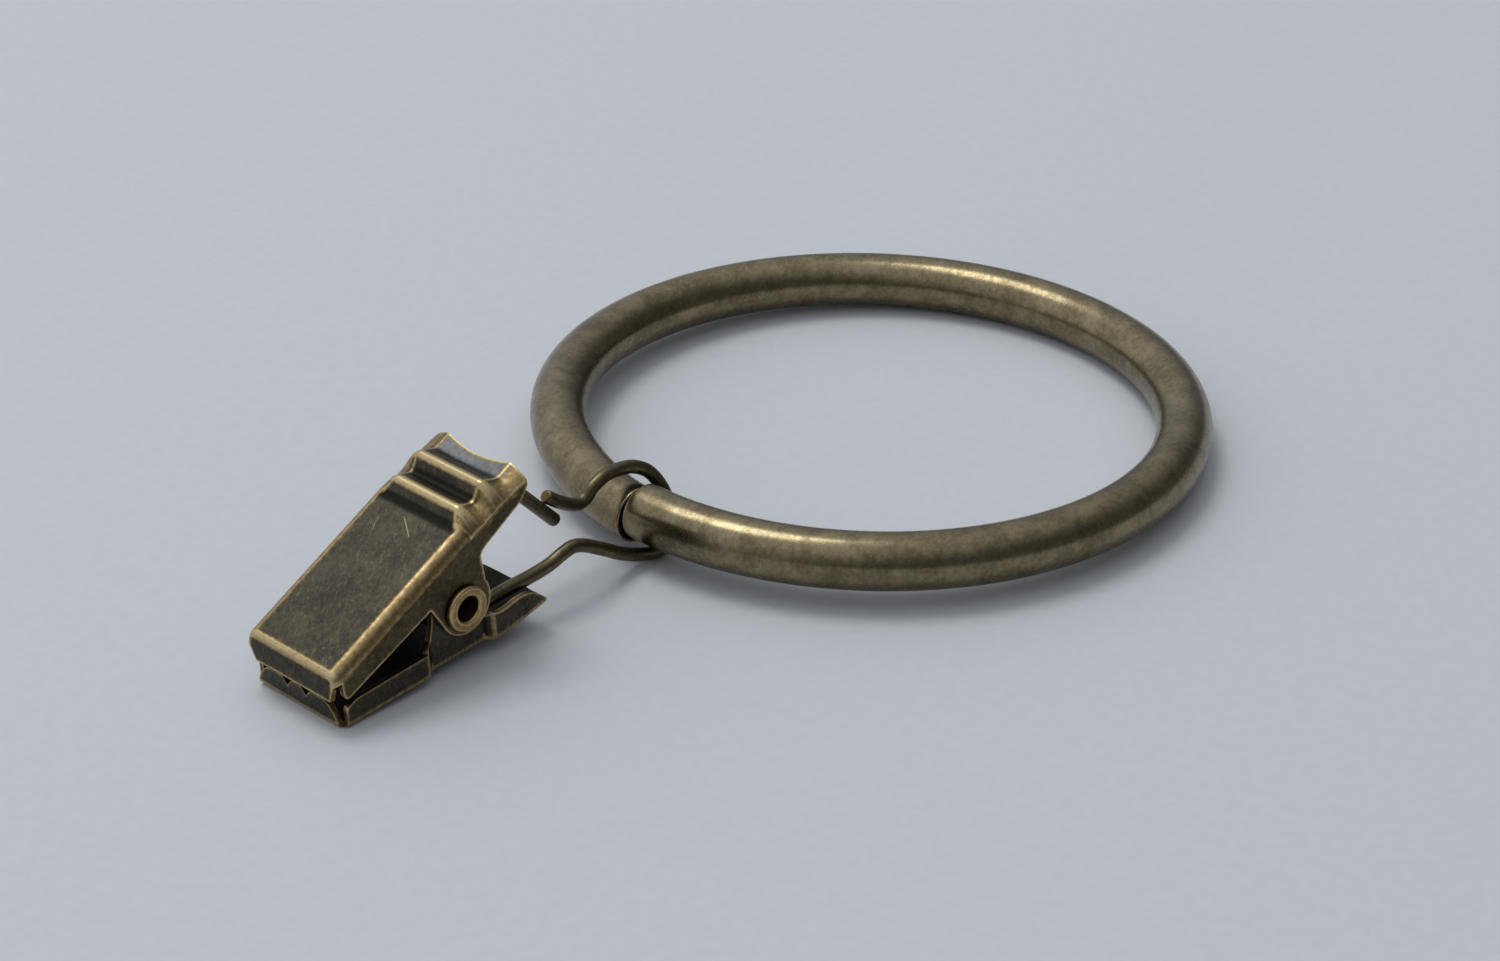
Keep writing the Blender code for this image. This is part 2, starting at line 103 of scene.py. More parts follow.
def ring_matrix():
    """From the ring's own frame, with +Z along its axis, to the frame of the whole part."""
    turn = Vector((0.0, 0.0, 1.0)).rotation_difference(RING_NORMAL).to_matrix().to_4x4()
    return Matrix.Translation(RING_CENTRE) @ turn


CLIP = clip_matrix()
RING = ring_matrix()


# Small geometry helpers


def in_mm(*pairs):
    return [Vector((x, 0.0, z)) * MM for x, z in pairs]


def across(point, y):
    return Vector((point.x, y, point.z))


def smooth_step(value, low, high):
    t = min(max((value - low) / (high - low), 0.0), 1.0)
    return t * t * (3.0 - 2.0 * t)


def arc(centre, radius, start, end, steps):
    points = []
    for i in range(steps + 1):
        angle = math.radians(start + (end - start) * i / steps)
        points.append(centre + radius * Vector((math.cos(angle), 0.0, math.sin(angle))))
    return points


def round_corner(before, corner, after, reach, steps=6):
    start = corner + (before - corner).normalized() * reach
    end = corner + (after - corner).normalized() * reach
    points = []
    for i in range(steps + 1):
        t = i / steps
        points.append(start.lerp(corner, t).lerp(corner.lerp(end, t), t))
    return points


def rounded_line(points, reach, steps=6):
    """A line with each of its inner corners rounded."""
    made = [points[0]]
    for before, corner, after in zip(points, points[1:], points[2:]):
        made += round_corner(before, corner, after, reach, steps)
    made.append(points[-1])
    return made


def apply_modifiers(obj):
    """The object's mesh replaced by what its modifiers make of it."""
    bpy.context.view_layer.update()
    graph = bpy.context.evaluated_depsgraph_get()
    made = bpy.data.meshes.new_from_object(obj.evaluated_get(graph))
    obj.modifiers.clear()
    obj.data = made


def refine(obj, longest, rounds=7):
    """Splits long edges, so that the wear marked at the points can follow the edges of flat faces."""
    bm = bmesh.new()
    bm.from_mesh(obj.data)
    for _ in range(rounds):
        bmesh.ops.triangulate(bm, faces=bm.faces, quad_method="SHORT_EDGE")
        long_edges = [edge for edge in bm.edges if edge.calc_length() > longest]
        if not long_edges:
            break
        bmesh.ops.subdivide_edges(bm, edges=long_edges, cuts=1)
    bmesh.ops.triangulate(bm, faces=bm.faces, quad_method="SHORT_EDGE")
    bm.to_mesh(obj.data)
    bm.free()


SAMPLE_SPACING = 0.15 * MM
LEAST_FACE_WIDTH = 0.03 * MM
NEAREST_SAMPLES = 8


def bend_samples(mesh):
    """Places along the mesh's edges, with how sharply the mesh bends there, in 1/m.

    The bend is above 0 on a bulge and below 0 in a hollow.
    """
    bm = bmesh.new()
    bm.from_mesh(mesh)
    samples = []
    for edge in bm.edges:
        length = edge.calc_length()
        if len(edge.link_faces) != 2 or length < 1e-9:
            continue
        width = min(face.calc_area() for face in edge.link_faces) / length
        bend = edge.calc_face_angle_signed(0.0) / max(width, LEAST_FACE_WIDTH)
        first, last = (vert.co.copy() for vert in edge.verts)
        count = max(int(length / SAMPLE_SPACING), 1)
        samples += [(first.lerp(last, i / count), bend) for i in range(count + 1)]
    bm.free()
    return samples


def mark_wear(obj, samples, reach, low=200.0, high=1500.0):
    """Stores how near each point is to a bulge, where the patina is rubbed off, and to a hollow, which the
    materials darken as painted shade.

    A bulge or a hollow is a place that bends by more than low, in 1/m, and counts in full from high.
    """
    for name, sign in (("wear", 1.0), ("hollow", -1.0)):
        strong = [(place, sign * bend) for place, bend in samples if sign * bend > low]
        tree = KDTree(len(strong))
        for i, (place, _) in enumerate(strong):
            tree.insert(place, i)
        tree.balance()
        marks = obj.data.attributes.new(name, "FLOAT", "POINT")
        for i, vert in enumerate(obj.data.vertices):
            most = 0.0
            for _, index, distance in tree.find_n(vert.co, NEAREST_SAMPLES):
                nearness = 1.0 - smooth_step(distance, 0.0, reach)
                most = max(most, nearness * smooth_step(strong[index][1], low, high))
            marks.data[i].value = most


def add_piece(name, bm, matrix):
    """A mesh object in the part's own frame, from a bmesh in another."""
    bm.transform(matrix)
    mesh = bpy.data.meshes.new(name)
    bm.to_mesh(mesh)
    bm.free()
    obj = bpy.data.objects.new(name, mesh)
    bpy.context.scene.collection.objects.link(obj)
    return obj


def finish_piece(obj, body, node, crease=40):
    obj.data.shade_smooth()
    obj.data.set_sharp_from_angle(angle=math.radians(crease))
    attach(obj, body)
    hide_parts(node)


def join_loops(bm, first, second):
    for k in range(len(first)):
        following = (k + 1) % len(first)
        bm.faces.new((first[k], first[following], second[following], second[k]))


def close_rod(bm, loops):
    """Joins the loops one after another and caps the two ends."""
    for first, second in zip(loops, loops[1:]):
        join_loops(bm, first, second)
    bm.faces.new(loops[0])
    bm.faces.new(loops[-1])
    bmesh.ops.recalc_face_normals(bm, faces=bm.faces)


# Materials: antique brass, a dark brown-green patina worn through to brass where the metal bulges


RANGE_SLOTS = ("From Min", "From Max", "To Min", "To Max")


class Nodes:
    """A short way to write a material's nodes."""

    def __init__(self, name):
        self.material = bpy.data.materials.new(name)
        self.material.use_nodes = True
        self.tree = self.material.node_tree
        self.shader = self.tree.nodes["Principled BSDF"]
        self.shader.inputs["Metallic"].default_value = 1.0

    def link(self, source, node, slot):
        self.tree.links.new(source, node.inputs[slot])

    def position(self):
        where = self.tree.nodes.new("ShaderNodeTexCoord")
        mapping = self.tree.nodes.new("ShaderNodeMapping")
        mapping.inputs["Scale"].default_value = (1000.0, 1000.0, 1000.0)
        self.link(where.outputs["Object"], mapping, "Vector")
        return mapping.outputs["Vector"]

    def noise(self, position, scale, detail=4.0, rough=0.6, distortion=0.0):
        node = self.tree.nodes.new("ShaderNodeTexNoise")
        node.inputs["Scale"].default_value = scale
        node.inputs["Detail"].default_value = detail
        node.inputs["Roughness"].default_value = rough
        node.inputs["Distortion"].default_value = distortion
        self.link(position, node, "Vector")
        return node.outputs["Fac"]

    def attribute(self, name):
        node = self.tree.nodes.new("ShaderNodeAttribute")
        node.attribute_name = name
        return node.outputs["Fac"]

    def span(self, value, low, high, to_low=0.0, to_high=1.0):
        node = self.tree.nodes.new("ShaderNodeMapRange")
        node.interpolation_type = "SMOOTHSTEP"
        for slot, number in zip(RANGE_SLOTS, (low, high, to_low, to_high)):
            node.inputs[slot].default_value = number
        self.link(value, node, "Value")
        return node.outputs["Result"]

    def math(self, operation, first, second=0.0):
        node = self.tree.nodes.new("ShaderNodeMath")
        node.operation = operation
        for slot, value in enumerate((first, second)):
            if isinstance(value, float):
                node.inputs[slot].default_value = value
            else:
                self.tree.links.new(value, node.inputs[slot])
        return node.outputs["Value"]

    def mix(self, factor, first, second):
        node = self.tree.nodes.new("ShaderNodeMix")
        node.data_type = "RGBA"
        self.tree.links.new(factor, node.inputs[0])
        for slot, value in ((6, first), (7, second)):
            if isinstance(value, tuple):
                node.inputs[slot].default_value = (*value, 1.0)
            else:
                self.tree.links.new(value, node.inputs[slot])
        return node.outputs[2]

    def bump(self, height, distance, strength=1.0):
        node = self.tree.nodes.new("ShaderNodeBump")
        node.inputs["Distance"].default_value = distance
        node.inputs["Strength"].default_value = strength
        self.link(height, node, "Height")
        self.link(node.outputs["Normal"], self.shader, "Normal")

    def direction(self, position, towards):
        """How far a position or a normal reaches towards a direction."""
        node = self.tree.nodes.new("ShaderNodeVectorMath")
        node.operation = "DOT_PRODUCT"
        self.tree.links.new(position, node.inputs[0])
        node.inputs[1].default_value = towards
        return node.outputs["Value"]

    def normal(self):
        return self.tree.nodes.new("ShaderNodeTexCoord").outputs["Normal"]

    def streaks(self, position, along, scale, stretch):
        """Noise drawn out along a direction."""
        mapping = self.tree.nodes.new("ShaderNodeMapping")
        mapping.vector_type = "TEXTURE"
        mapping.inputs["Rotation"].default_value = along.to_track_quat("X", "Z").to_euler()
        mapping.inputs["Scale"].default_value = (stretch, 1.0, 1.0)
        self.link(position, mapping, "Vector")
        return self.noise(mapping.outputs["Vector"], scale, 3.0, 0.6)

    def scratch(self, position, start, end, width):
        """A fine line from one place on the panel to another, in millimetres, fading at both ends."""
        ahead = (end - start).normalized()
        sideways = ahead.cross(PANEL_NORMAL).normalized()
        along = self.direction(position, ahead)
        away = self.direction(position, sideways)
        first, last = start.dot(ahead), end.dot(ahead)
        beside = self.math("ABSOLUTE", self.math("SUBTRACT", away, start.dot(sideways)))
        line = self.span(beside, width * 0.4, width, 1.0, 0.0)
        outside, inside = 0.1, 0.5
        line = self.math("MULTIPLY", line, self.span(along, first - outside, first + inside))
        return self.math("MULTIPLY", line, self.span(along, last - inside, last + outside, 1.0, 0.0))


GRAIN_DEPTH = 0.006 * MM


def antique_brass(
    name, dark, light, rubbed, rough, wear=1.0, walls=None, flecks=0.12, polished=None, scratches=(),
):
    """Mottled patina between a dark and a light tone, rubbed through brown to brass at the bulges, and
    darkened as painted shade near the hollows.

    walls is the pair of tones painted on the faces that look sideways, as painted shade for how those
    faces take the room's light; flecks how much brass shows through the patina, and polished the colour
    where the point attribute polish is 1.
    """
    made = Nodes(name)
    place = made.position()
    cloud = made.noise(place, 0.45, 5.0, 0.62, 0.4)
    mottle = made.noise(place, 2.1, 6.0, 0.68)
    speck = made.noise(place, 9.0, 3.0, 0.7)
    tone = made.math("ADD", made.math("MULTIPLY", cloud, 0.55), made.math("MULTIPLY", mottle, 0.45))
    level = made.span(tone, 0.36, 0.64)
    patina = made.mix(level, dark, light)
    # Painted shade: faces that look sideways along the clip's axis get their own tones, for how they take
    # the room's light.
    if walls:
        facing = made.math("ABSOLUTE", made.direction(made.normal(), CLIP_SIDE))
        patina = made.mix(made.span(facing, 0.35, 0.9), patina, made.mix(level, *walls))
    brown = tuple(worn * share for worn, share in zip(rubbed, BROWN_SHARE))
    streak = made.span(made.streaks(place, STREAK_WAY, 3.6, 2.2), 0.52, 0.74)
    freckle = made.math("MAXIMUM", made.span(speck, 0.57, 0.72), streak)
    patina = made.mix(made.math("MULTIPLY", freckle, flecks), patina, rubbed)
    # Painted shade: near a hollow the colour goes towards 0.4 of the dark tone.
    patina = made.mix(made.attribute("hollow"), patina, tuple(0.4 * value for value in dark))
    if polished:
        silver = made.math("MULTIPLY", made.attribute("polish"), made.span(mottle, 0.3, 0.6, 0.55, 1.0))
        patina = made.mix(silver, patina, polished)
    for start, end, width in scratches:
        broken = made.span(speck, 0.3, 0.6, 0.15, 0.5)
        line = made.math("MULTIPLY", made.scratch(place, start, end, width), broken)
        patina = made.mix(line, patina, rubbed)
    ragged = made.math("ADD", made.attribute("wear"), made.span(mottle, 0.3, 0.7, -0.14, 0.14))
    ragged = made.math("MULTIPLY", ragged, wear)
    patina = made.mix(made.span(ragged, 0.06, 0.55), patina, brown)
    worn = made.span(ragged, 0.42, 1.05)
    made.link(made.mix(worn, patina, rubbed), made.shader, "Base Color")
    smooth = made.math("MULTIPLY", worn, -0.08)
    uneven = made.span(tone, 0.3, 0.7, rough[1], rough[0])
    fine = made.span(speck, 0.3, 0.7, -0.05, 0.05)
    made.link(made.math("ADD", made.math("ADD", uneven, smooth), fine), made.shader, "Roughness")
    height = made.math("ADD", made.math("MULTIPLY", speck, 0.4), mottle)
    made.bump(height, GRAIN_DEPTH)
    return made


def clip_direction(x, y, z):
    return (CLIP.to_3x3() @ Vector((x, y, z))).normalized()


def clip_place(x, y, z):
    """A place in the clip's frame, in millimetres in the part's frame."""
    return CLIP @ (Vector((x, y, z)) * MM) / MM


CLIP_SIDE = clip_direction(0.0, 1.0, 0.0)
PANEL_NORMAL = clip_direction(-0.4003, 0.0, 0.9164)
STREAK_WAY = clip_direction(0.8, 0.5, 0.35)
BROWN_SHARE = (0.42, 0.36, 0.28)
BRASS = (0.56, 0.44, 0.235)
PANEL_SCRATCHES = (
    (clip_place(13.37, 6.29, 11.14), clip_place(11.96, 4.10, 10.52), 0.07),
    (clip_place(12.04, 8.25, 10.56), clip_place(11.13, 7.76, 10.16), 0.05),
)
tube_look = antique_brass(
    "antique brass tube", (0.145, 0.117, 0.066), (0.275, 0.226, 0.136), (0.42, 0.36, 0.23),
    rough=(0.21, 0.31), wear=0.7, flecks=0.22,
)
# The walls tones below are painted shade for the faces that look sideways.
panel_look = antique_brass(
    "antique brass panel", (0.040, 0.038, 0.030), (0.078, 0.071, 0.050), BRASS, rough=(0.36, 0.48),
    walls=((0.050, 0.039, 0.023), (0.100, 0.077, 0.042)), polished=(0.16, 0.165, 0.168),
    scratches=PANEL_SCRATCHES,
)
lower_look = antique_brass(
    "antique brass lower jaw", (0.036, 0.034, 0.030), (0.070, 0.065, 0.052), BRASS, rough=(0.36, 0.5),
    walls=((0.042, 0.036, 0.026), (0.078, 0.066, 0.047)), wear=0.82,
)
# Painted shade: the inner side of the sheet gets a near-black tone for the shade inside the jaws and the
# channel.
inside_shade_look = antique_brass(
    "inside painted shade", (0.008, 0.008, 0.007), (0.018, 0.017, 0.014), (0.06, 0.05, 0.035),
    rough=(0.5, 0.65), wear=0.5,
)
edge_look = antique_brass(
    "rubbed edge", (0.075, 0.06, 0.036), (0.14, 0.11, 0.062), BRASS,
    rough=(0.32, 0.44), flecks=0.2, wear=0.75,
)
rivet_look = antique_brass(
    "rivet brass", (0.15, 0.11, 0.055), (0.27, 0.20, 0.095), (0.50, 0.375, 0.18),
    rough=(0.34, 0.46), flecks=0.3,
)
wire_look = antique_brass(
    "antique brass wire", (0.085, 0.072, 0.042), (0.150, 0.125, 0.072), (0.36, 0.29, 0.16),
    rough=(0.30, 0.42), wear=0.7, flecks=0.2,
)
pin_look = antique_brass(
    "pin metal", (0.08, 0.075, 0.06), (0.14, 0.13, 0.10), (0.3, 0.28, 0.24), rough=(0.3, 0.42), wear=0.6,
)


# Ring


def ring_loop(bm, angle, radius, sides, share):
    """A circle of points round the ring's centre line, moved by a share of the sprung end's offset."""
    outward = Vector((-math.cos(angle), math.sin(angle), 0.0))
    centre = outward * (RING_RADIUS + END_OFFSET * share) - Vector((0.0, 0.0, END_DROP * share))
    loop = []
    for k in range(sides):
        turn = math.tau * k / sides
        spoke = outward * math.cos(turn) + Vector((0.0, 0.0, math.sin(turn)))
        loop.append(bm.verts.new(centre + radius * spoke))
    return loop


def make_ring_shell():
    """The bent tube with softly rounded mouths, hollow all the way round."""
    half_gap = JOINT_GAP / 2 / RING_RADIUS
    start = JOINT_ANGLE + half_gap
    sweep = math.tau - 2 * half_gap
    lip = []
    for i in range(6):
        turn = math.radians(90) * i / 5
        lip.append((END_ROUNDING * (1.0 - math.sin(turn)), END_ROUNDING * (1.0 - math.cos(turn))))
    rows = [(along / RING_RADIUS, TUBE_RADIUS - inward) for along, inward in lip[::-1]]
    rows += [(sweep * i / RING_STEPS, TUBE_RADIUS) for i in range(1, RING_STEPS)]
    rows += [(sweep - along / RING_RADIUS, TUBE_RADIUS - inward) for along, inward in lip]
    rows += [(sweep - along / RING_RADIUS, BORE_RADIUS + inward) for along, inward in BORE_CHAMFER]
    rows += [(sweep * i / BORE_STEPS, BORE_RADIUS) for i in range(BORE_STEPS - 1, 0, -1)]
    rows += [(along / RING_RADIUS, BORE_RADIUS + inward) for along, inward in BORE_CHAMFER[::-1]]
    bm = bmesh.new()
    loops = []
    for along, radius in rows:
        share = 1.0 - smooth_step(along, 0.0, END_OFFSET_ARC)
        loops.append(ring_loop(bm, start + along, radius, TUBE_SIDES, share))
    for first, second in zip(loops, loops[1:] + loops[:1]):
        join_loops(bm, first, second)
    bmesh.ops.recalc_face_normals(bm, faces=bm.faces)
    piece = add_piece("ring_shell", bm, RING)
    mark_wear(piece, bend_samples(piece.data), 0.4 * MM, 900.0, 3500.0)
    piece.data.materials.append(tube_look.material)
    finish_piece(piece, "ring", "ring_tube")


def make_joint_plug():
    """The plug that the tube's two ends are pushed onto, with chamfered ends."""
    half = PIN_LENGTH / 2
    straight = PIN_LENGTH - 2 * PIN_CHAMFER
    first = -half + PIN_CHAMFER
    bm = bmesh.new()
    loops = []
    stations = [(-half, PIN_RADIUS - PIN_CHAMFER), (first, PIN_RADIUS)]
    stations += [(first + straight * i / PIN_STEPS, PIN_RADIUS) for i in range(1, PIN_STEPS)]
    stations += [(half - PIN_CHAMFER, PIN_RADIUS), (half, PIN_RADIUS - PIN_CHAMFER)]
    for along, radius in stations:
        loops.append(ring_loop(bm, JOINT_ANGLE + along / RING_RADIUS, radius, PIN_SIDES, 0.5))
    close_rod(bm, loops)
    piece = add_piece("joint_plug", bm, RING)
    mark_wear(piece, bend_samples(piece.data), 0.3 * MM, 900.0, 3500.0)
    piece.data.materials.append(pin_look.material)
    finish_piece(piece, "ring", "ring_joint_pin")


# Sheet metal

PLATE_BORDER = 0.22 * MM
LIP_BORDER = 0.15 * MM
EDGE_BEVEL = 0.11 * MM
HOLE_RADIUS = 1.52 * MM
HOLE_SIDES = 64
LONGEST_EDGE = 0.32 * MM


class Sheet:
    """An open surface whose faces share the corners that coincide."""

    def __init__(self):
        self.bm = bmesh.new()
        self.corners = {}

    def corner(self, point):
        key = tuple(round(value / (0.001 * MM)) for value in point)
        if key not in self.corners:
            self.corners[key] = self.bm.verts.new(point)
        return self.corners[key]

    def face(self, points):
        corners = list(dict.fromkeys(self.corner(point) for point in points))
        return self.bm.faces.new(corners)

    def strip(self, rows):
        for row, following in zip(rows, rows[1:]):
            for i in range(len(row) - 1):
                self.face([row[i], row[i + 1], following[i + 1], following[i]])

    def plate(self, points, border=PLATE_BORDER):
        """A flat face with a narrow border, so that wear at its edges stays at its edges."""
        face = self.face(points)
        bmesh.ops.inset_region(self.bm, faces=[face], thickness=border, use_even_offset=True)

    def to_piece(self, name, inside):
        """The sheet given its thickness, rivet holes and softened edges."""
        bmesh.ops.recalc_face_normals(self.bm, faces=self.bm.faces)
        facing = sum(
            face.normal.dot(face.calc_center_median() - inside) * face.calc_area()
            for face in self.bm.faces
        )
        if facing < 0:
            bmesh.ops.reverse_faces(self.bm, faces=self.bm.faces)
        piece = add_piece(name, self.bm, CLIP)
        thickness = piece.modifiers.new("Sheet", "SOLIDIFY")
        thickness.thickness = SHEET
        thickness.offset = -1.0
        # The inner side takes the second material, the near-black painted shade.
        thickness.material_offset = 1
        thickness.material_offset_rim = 2
        hole = piece.modifiers.new("Rivet holes", "BOOLEAN")
        hole.operation = "DIFFERENCE"
        hole.solver = "EXACT"
        hole.object = rivet_hole_cutter()
        soften = piece.modifiers.new("Soft edges", "BEVEL")
        soften.width = EDGE_BEVEL
        soften.segments = 3
        soften.limit_method = "ANGLE"
        soften.angle_limit = math.radians(50)
        soften.use_clamp_overlap = True
        return piece


def rivet_hole_cutter():
    name = "rivet_hole_cutter"
    if name in bpy.data.objects:
        return bpy.data.objects[name]
    bm = bmesh.new()
    turn = Matrix.Rotation(math.radians(90), 4, "X")
    middle = Matrix.Translation(PIVOT + Vector((0.0, CLIP_WIDTH / 2, 0.0)))
    bmesh.ops.create_cone(
        bm, cap_ends=True, segments=HOLE_SIDES, radius1=HOLE_RADIUS, radius2=HOLE_RADIUS,
        depth=CLIP_WIDTH * 1.5, matrix=middle @ turn,
    )
    return add_piece(name, bm, CLIP)


def cross_section(flat, base, bend, inset, columns=0, dish=None, slope=0.0):
    """From the top of one side wall, round the fold, over the flat, and round to the other side wall.

    The fold is a quarter ellipse where slope is 0, and flattens towards a straight slope as it nears 1.
    """
    near = []
    for i in range(BEND_STEPS + 1):
        angle = math.radians(90) * i / BEND_STEPS
        inwards = (1.0 - slope) * (1.0 - math.sin(angle)) + slope * (1.0 - i / BEND_STEPS)
        down = (1.0 - slope) * (1.0 - math.cos(angle)) + slope * i / BEND_STEPS
        near.append(across(flat.lerp(base, down), inset + (bend - inset) * inwards))
    far = [across(point, CLIP_WIDTH - point.y) for point in near]
    middle = [near[0].lerp(far[0], k / columns) for k in range(1, columns)] if columns else []
    row = near[::-1] + middle + far
    return [dish(point) for point in row] if dish else row


# Lower jaw

FLOOR_BEND = 0.6 * MM
FLANGE_HEIGHT = 2.42 * MM
EAR_INSET = 0.62 * MM
EAR_FRONT = 10.0 * MM
EAR_BACK = 15.6 * MM
JOGGLE = 0.8 * MM
TAIL_START = 17.0 * MM
TAIL_END = 22.1 * MM
TAIL_RISE = 0.75 * MM
TAIL_CROWN = 0.35 * MM
NOTCH_PITCH = 2.28 * MM
NOTCH_HALF_WIDTH = 0.55 * MM
NOTCH_BOTTOM = 1.65 * MM
LIP_CORNER = 2.1 * MM
LOWER_LIP_HEIGHT = 2.3 * MM
FLOOR_COLUMNS = 8
LOWER_WEAR_REACH = 0.22 * MM


def lower_side_inset(x):
    into = smooth_step(x, EAR_FRONT - JOGGLE, EAR_FRONT)
    out = smooth_step(x, EAR_BACK, EAR_BACK + JOGGLE)
    return EAR_INSET * (into - out)


def floor_height(x):
    return TAIL_RISE * (max(x - TAIL_START, 0.0) / (TAIL_END - TAIL_START)) ** 1.3


def tail_dish(point):
    """The floor's end is crowned in the middle, like the bowl of a spoon turned over."""
    along = smooth_step(point.x, TAIL_START, TAIL_END)
    u = (2.0 * point.y - CLIP_WIDTH) / (CLIP_WIDTH - 2 * FLOOR_BEND)
    return point + Vector((0.0, 0.0, TAIL_CROWN * along * max(1.0 - u * u, 0.0)))


def joggle_stations(start, steps=8):
    return [start + JOGGLE * i / steps for i in range(steps + 1)]


def lower_wall_top():
    """The side wall's top outline from front to back, without the joggles."""
    flange_end = (EAR_FRONT / MM - JOGGLE / MM, FLANGE_HEIGHT / MM)
    front = rounded_line(in_mm((0.61, 0.75), (0.66, 1.9), (1.7, 2.38), flange_end), 0.42 * MM)
    ear_line = in_mm((10.0, 2.95), (10.45, 4.4), (10.8, 8.9), (15.85, 8.9), (15.9, 4.0), (15.6, 2.6))
    ear = [ear_line[0]] + round_corner(*ear_line[:3], 0.8 * MM) + round_corner(*ear_line[1:4], 1.6 * MM)
    ear += round_corner(*ear_line[2:5], 1.2 * MM) + [ear_line[5]]
    tail = rounded_line(in_mm(
        (16.4, 2.75), (16.9, 2.57), (17.8, 2.56), (18.8, 2.76),
        (19.6, 2.82), (20.4, 2.69), (21.1, 2.36), (22.05, 1.4),
    ), 0.35 * MM)
    return front, ear, tail


def make_jaw_lower():
    front, ear, tail = lower_wall_top()
    into = joggle_stations(EAR_FRONT - JOGGLE)
    out = joggle_stations(EAR_BACK)
    stations = [FLOOR_BEND] + [FLOOR_BEND + (into[0] - FLOOR_BEND) * i / 8 for i in range(1, 8)] + into
    stations += [EAR_FRONT + (EAR_BACK - EAR_FRONT) * i / 6 for i in range(1, 6)] + out
    stations += [out[-1] + (TAIL_END - out[-1]) * i / 12 for i in range(1, 13)]
    sheet = Sheet()
    sections = []
    for x in stations:
        inset = lower_side_inset(x)
        flat = Vector((x, 0.0, floor_height(x)))
        base = flat + Vector((0.0, 0.0, FLOOR_BEND))
        sections.append(cross_section(flat, base, inset + FLOOR_BEND, inset, FLOOR_COLUMNS, tail_dish))
    sheet.strip(sections)
    for side in (0, -1):
        base = [section[side] for section in sections]
        n_into, n_out = stations.index(into[0]), stations.index(out[0])
        last_into, last_out = n_into + len(into) - 1, n_out + len(out) - 1
        spans = ((front, 0, n_into), (ear, last_into, n_out), (tail, last_out, len(stations) - 1))
        for outline, first, last in spans:
            foot = base[first:last + 1]
            top = [across(point, foot[0].y) for point in outline]
            sheet.plate(foot + top[::-1])
        joggles = ((n_into, last_into, front[-1], ear[0]), (n_out, last_out, ear[-1], tail[0]))
        for first, last, before, after in joggles:
            rows = []
            for i in range(first, last + 1):
                t = (i - first) / (last - first)
                rows.append([base[i], across(before.lerp(after, t), base[i].y)])
            sheet.strip(rows)

    low_y = FLOOR_BEND
    high_y = CLIP_WIDTH - FLOOR_BEND
    first_row = [point for point in sections[0] if low_y - 1e-7 <= point.y <= high_y + 1e-7]
    fold = arc(Vector((FLOOR_BEND, 0.0, FLOOR_BEND)), FLOOR_BEND, 270, 180, BEND_STEPS)
    sheet.strip([[across(point, corner.y) for corner in first_row] for point in fold])
    shoulder_line = [
        Vector((0.0, low_y, FLOOR_BEND)),
        Vector((0.0, low_y + 0.25 * MM, 1.25 * MM)),
        Vector((0.0, LIP_CORNER - 0.5 * MM, 2.12 * MM)),
        Vector((0.0, LIP_CORNER, LOWER_LIP_HEIGHT)),
    ]
    shoulder = rounded_line(shoulder_line, 0.2 * MM)
    edge = list(shoulder)
    for side in (-1, 1):
        y = CLIP_WIDTH / 2 + side * NOTCH_PITCH / 2
        edge += [Vector((0.0, y - NOTCH_HALF_WIDTH, LOWER_LIP_HEIGHT)), Vector((0.0, y, NOTCH_BOTTOM))]
        edge.append(Vector((0.0, y + NOTCH_HALF_WIDTH, LOWER_LIP_HEIGHT)))
    edge += [Vector((0.0, CLIP_WIDTH - point.y, point.z)) for point in shoulder[::-1]]
    foot = [across(fold[-1], corner.y) for corner in first_row]
    sheet.plate(edge + foot[::-1][1:-1], LIP_BORDER)

    piece = sheet.to_piece("jaw_lower", Vector((10.0 * MM, CLIP_WIDTH / 2, 4.0 * MM)))
    for look in (lower_look, inside_shade_look, edge_look):
        piece.data.materials.append(look.material)
    apply_modifiers(piece)
    samples = bend_samples(piece.data)
    refine(piece, LONGEST_EDGE)
    mark_wear(piece, samples, LOWER_WEAR_REACH)
    finish_piece(piece, "clip", "lower_jaw")


# Upper jaw

PANEL_BEND = 1.0 * MM
RIDGE_BEND = 1.75 * MM
LIP_NEAR_INSET = 0.5 * MM
LIP_FAR_INSET = 1.3 * MM
SHOULDER_SLOPE = 0.65
SHOULDER_FOOT = Vector((15.5, 0.0, 11.1)) * MM
SHOULDER_RISE = 0.365
SHOULDER_WEAR = 0.6
SHOULDER_START = (14.3 * MM, 15.3 * MM)
SHOULDER_LOW_SIDE = (-0.7 * MM, 0.1 * MM)
SHOULDER_INNER_SIDE = (1.1 * MM, 1.7 * MM)
POLISH_START = (19.3 * MM, 20.0 * MM)
POLISH_SIDE = (0.6 * MM, 1.9 * MM)
PANEL_COLUMNS = 12
UPPER_WEAR_REACH = 0.32 * MM
THUMB_RECESS = 0.5 * MM
THUMB_DIP = 0.3 * MM
UPPER_EAR_RADIUS = 2.62 * MM
UPPER_EAR_CENTRE = PIVOT + Vector((0.2, 0.0, 0.1)) * MM


def thumb_dish(point):
    along = smooth_step(point.x, 18.6 * MM, 21.3 * MM)
    u = (2.0 * point.y - CLIP_WIDTH) / (CLIP_WIDTH - 2 * RIDGE_BEND)
    depth = along * max(1.0 - u * u, 0.0)
    return point - Vector((THUMB_RECESS, 0.0, THUMB_DIP)) * depth


